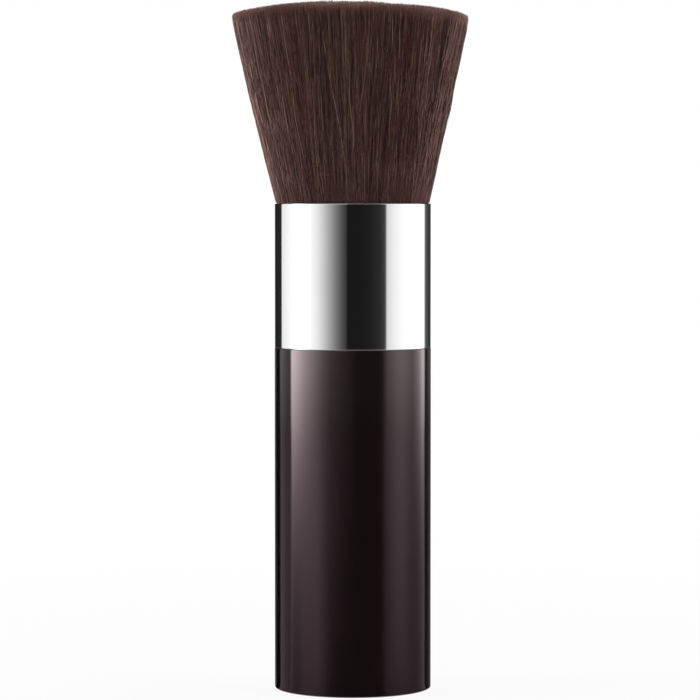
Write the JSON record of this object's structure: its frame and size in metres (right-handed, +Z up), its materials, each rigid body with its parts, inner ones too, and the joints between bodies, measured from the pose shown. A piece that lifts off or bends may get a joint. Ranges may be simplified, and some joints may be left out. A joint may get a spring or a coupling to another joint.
{
  "type": "foundation brush",
  "caption": "Chunky cosmetic brush with a dense flared flat-top tuft, a bright metal ferrule and a straight glossy cylindrical handle that stands on its flat base.",
  "frame": {"origin": "middle of the flat base that the brush stands on", "axes": "+Z up the handle's axis, from the base to the tuft; X and Y are equal, because every piece is round"},
  "size_m": [0.0434, 0.0434, 0.127],
  "materials": {
    "handle_lacquer": "very dark aubergine brown, high gloss",
    "base_lacquer": "very dark aubergine brown, gloss",
    "pad_foam": "dark grey closed-cell foam",
    "weight_steel": "raw turned steel",
    "core_plastic": "black moulded plastic",
    "ferrule_chrome": "mirror-bright plating",
    "cup_aluminium": "plain drawn aluminium",
    "root_resin": "amber casting resin",
    "tuft_fibre": "fine dark brown fibres"
  },
  "bodies": {
    "root": {"handle_shell": "handle_lacquer", "base_plug": "base_lacquer", "weight_pad": "pad_foam", "handle_weight": "weight_steel", "core_spigot": "core_plastic", "ferrule": "ferrule_chrome", "knot_cup": "cup_aluminium", "resin_plug": "root_resin", "bristle_tuft": "tuft_fibre"}
  },
  "joints": []
}
